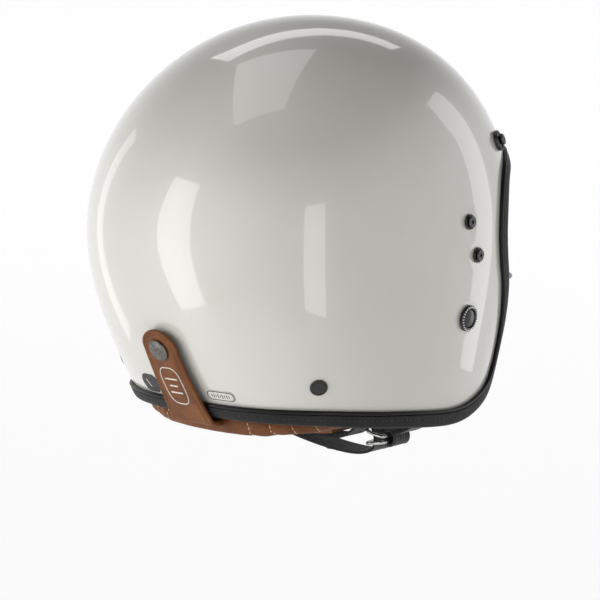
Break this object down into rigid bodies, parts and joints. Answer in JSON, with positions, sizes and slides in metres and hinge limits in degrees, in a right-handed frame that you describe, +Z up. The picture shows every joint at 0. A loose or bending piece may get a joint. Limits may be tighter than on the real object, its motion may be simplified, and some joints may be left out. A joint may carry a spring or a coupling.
{
  "type": "open face motorcycle helmet",
  "caption": "Open face motorcycle helmet with leather edge trim, snap-down rear strap tab, inner sun visor and double ring chin strap.",
  "frame": {"origin": "middle of the head, on the symmetry plane, at the level where the shell is widest", "axes": "+Z up; the face opening looks along -Y; the wearer's right is -X"},
  "size_m": [0.261, 0.2771, 0.303],
  "materials": {
    "shell_paint": "warm off-white gloss paint under clear lacquer",
    "black_leather": "black grained leather edge trim with a stitch line",
    "gloss_black": "gloss black",
    "liner_foam": "black expanded polystyrene beads",
    "lining_fabric": "soft quilted lining fabric",
    "tan_leather": "tan leather with light stitching",
    "snap_metal": "dark press stud metal",
    "black_plastic": "matt black moulded plastic",
    "dark_decal": "dark oval sticker",
    "pale_decal": "clear sticker with a thin outline",
    "antique_nickel": "antique nickel press stud cap",
    "webbing": "black woven webbing",
    "steel": "bright steel",
    "visor_tint": "smoke tinted clear plastic",
    "grey_plastic": "mid grey moulded plastic"
  },
  "bodies": {
    "helmet": {"shell": "shell_paint", "edge_trim": "black_leather", "edge_bead": "gloss_black", "impact_liner": "liner_foam", "cheek_foam_left": "liner_foam", "cheek_foam_right": "liner_foam", "crown_pad": "lining_fabric", "brow_pad": "lining_fabric", "headband_pad": "lining_fabric", "nape_pad": "lining_fabric", "cheek_pad_left": "lining_fabric", "cheek_pad_right": "lining_fabric", "neck_roll": "tan_leather", "brow_snap_centre_stud": "snap_metal", "brow_snap_centre_ring": "gloss_black", "brow_snap_right_stud": "snap_metal", "brow_snap_right_ring": "gloss_black", "brow_snap_left_stud": "snap_metal", "brow_snap_left_ring": "gloss_black", "side_snap_upper_right_stud": "snap_metal", "side_snap_upper_right_ring": "gloss_black", "side_snap_upper_left_stud": "snap_metal", "side_snap_upper_left_ring": "gloss_black", "side_snap_lower_right_stud": "snap_metal", "side_snap_lower_right_ring": "gloss_black", "side_snap_lower_left_stud": "snap_metal", "side_snap_lower_left_ring": "gloss_black", "rivet_bezel_right": "gloss_black", "rivet_cap_right": "gloss_black", "rear_plug_right": "black_plastic", "rivet_bezel_left": "gloss_black", "rivet_cap_left": "gloss_black", "rear_plug_left": "black_plastic", "size_label": "dark_decal", "weight_label": "pale_decal", "tab_post": "antique_nickel", "visor_pin_right": "black_plastic", "visor_pin_left": "black_plastic", "lever_track": "black_plastic", "strap_hanger_right": "webbing", "strap_plate_right": "steel", "strap_hanger_left": "webbing", "strap_plate_left": "steel"},
    "sun_visor": {"visor_lens": "visor_tint", "visor_hub_left": "black_plastic", "visor_hub_right": "black_plastic"},
    "visor_lever": {"visor_lever": "grey_plastic"},
    "goggle_tab": {"goggle_tab": "tan_leather", "tab_button": "antique_nickel", "tab_socket": "antique_nickel"},
    "chin_strap": {"strap_long": "webbing", "strap_short": "webbing", "ring_loop": "webbing", "d_ring_upper": "steel", "d_ring_lower": "steel", "chin_pad": "tan_leather", "strap_snap": "gloss_black"}
  },
  "joints": [
    {"name": "sun_visor_swing", "type": "hinge", "parent": "helmet", "child": "sun_visor", "pos_m": [0, 0, 0.004], "axis": [1, 0, 0], "range_deg": [0, 36]},
    {"name": "visor_lever_slide", "type": "slide", "parent": "helmet", "child": "visor_lever", "axis": [-0.106, 0.2565, 0.9607], "range_m": [0, 0.0162]},
    {"name": "goggle_tab_swing", "type": "hinge", "parent": "helmet", "child": "goggle_tab", "pos_m": [0, 0.107, -0.1195], "axis": [-1, 0, 0], "range_deg": [0, 110]},
    {"name": "chin_strap_swing", "type": "hinge", "parent": "helmet", "child": "chin_strap", "pos_m": [0, -0.03, -0.114], "axis": [1, 0, 0], "range_deg": [-30, 15]}
  ],
  "couplings": [
    {"joint": "visor_lever_slide", "follows": "sun_visor_swing", "m_per_rad": 0.02546}
  ]
}
